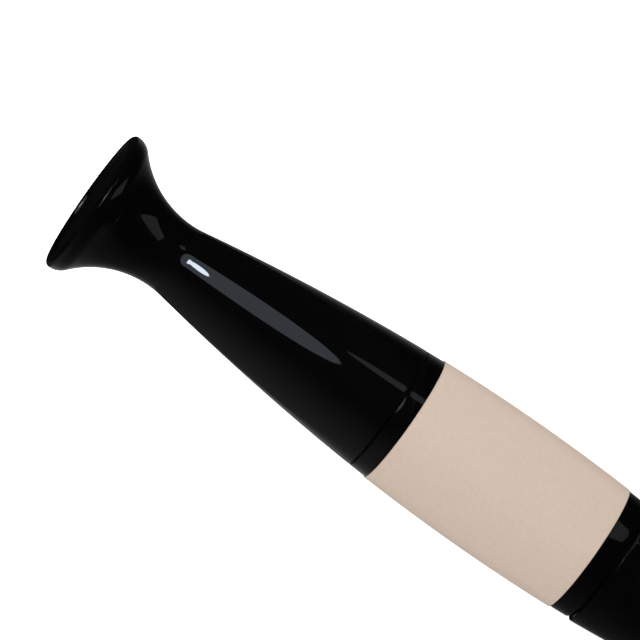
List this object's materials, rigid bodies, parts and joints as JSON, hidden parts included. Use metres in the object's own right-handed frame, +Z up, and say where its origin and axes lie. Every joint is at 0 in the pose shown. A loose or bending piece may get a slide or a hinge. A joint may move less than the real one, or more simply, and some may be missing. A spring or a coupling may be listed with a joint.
{
  "type": "glue pen",
  "caption": "Twist-up glue pen with a waisted, flared pull-off cap, a bellied barrel with a plain wrap label, and a twist base that drives a piston up a screw.",
  "frame": {"origin": "centre of the twist base's foot, at the bottom of the pen", "axes": "+Z up along the pen from the base's foot to the cap's flared end, -Y towards the side that the picture shows, +X to that viewer's right with the cap up"},
  "size_m": [0.0256, 0.0256, 0.1235],
  "materials": {
    "gloss_black_plastic": "polished moulded black, high gloss",
    "label_film": "plain beige printed film, satin",
    "black_polypropylene": "moulded black, satin",
    "natural_polypropylene": "moulded natural white, satin",
    "white_acetal": "moulded white, smooth",
    "soft_rubber": "soft grey, matt",
    "spring_steel": "bright stamped steel",
    "glue": "pale thick liquid"
  },
  "bodies": {
    "barrel": {"barrel_shell": "gloss_black_plastic", "label": "label_film", "reservoir": "black_polypropylene", "rear_bulkhead": "natural_polypropylene", "ratchet_ring": "white_acetal", "screw_seal": "soft_rubber", "nozzle": "black_polypropylene", "nozzle_gasket": "soft_rubber", "glue_charge": "glue"},
    "base": {"base_shell": "gloss_black_plastic", "base_core": "white_acetal", "click_ring": "white_acetal", "drive_screw": "white_acetal", "retaining_clip": "spring_steel"},
    "piston": {"piston": "natural_polypropylene", "piston_seal": "soft_rubber"},
    "cap": {"cap_shell": "gloss_black_plastic", "cap_liner": "natural_polypropylene", "cap_end_dish": "gloss_black_plastic", "tip_seal": "soft_rubber"}
  },
  "joints": [
    {"name": "base_twist", "type": "hinge", "parent": "barrel", "child": "base", "pos_m": [0, 0, 0], "axis": [0, 0, 1], "range_deg": [0, 3510]},
    {"name": "piston_feed", "type": "slide", "parent": "barrel", "child": "piston", "axis": [0, 0, 1], "range_m": [0, 0.039], "deforming": ["glue_charge"]},
    {"name": "cap_pull", "type": "slide", "parent": "barrel", "child": "cap", "axis": [0, 0, 1], "range_m": [0, 0.045]}
  ],
  "couplings": [
    {"joint": "piston_feed", "follows": "base_twist", "m_per_rad": 0.00063662}
  ]
}
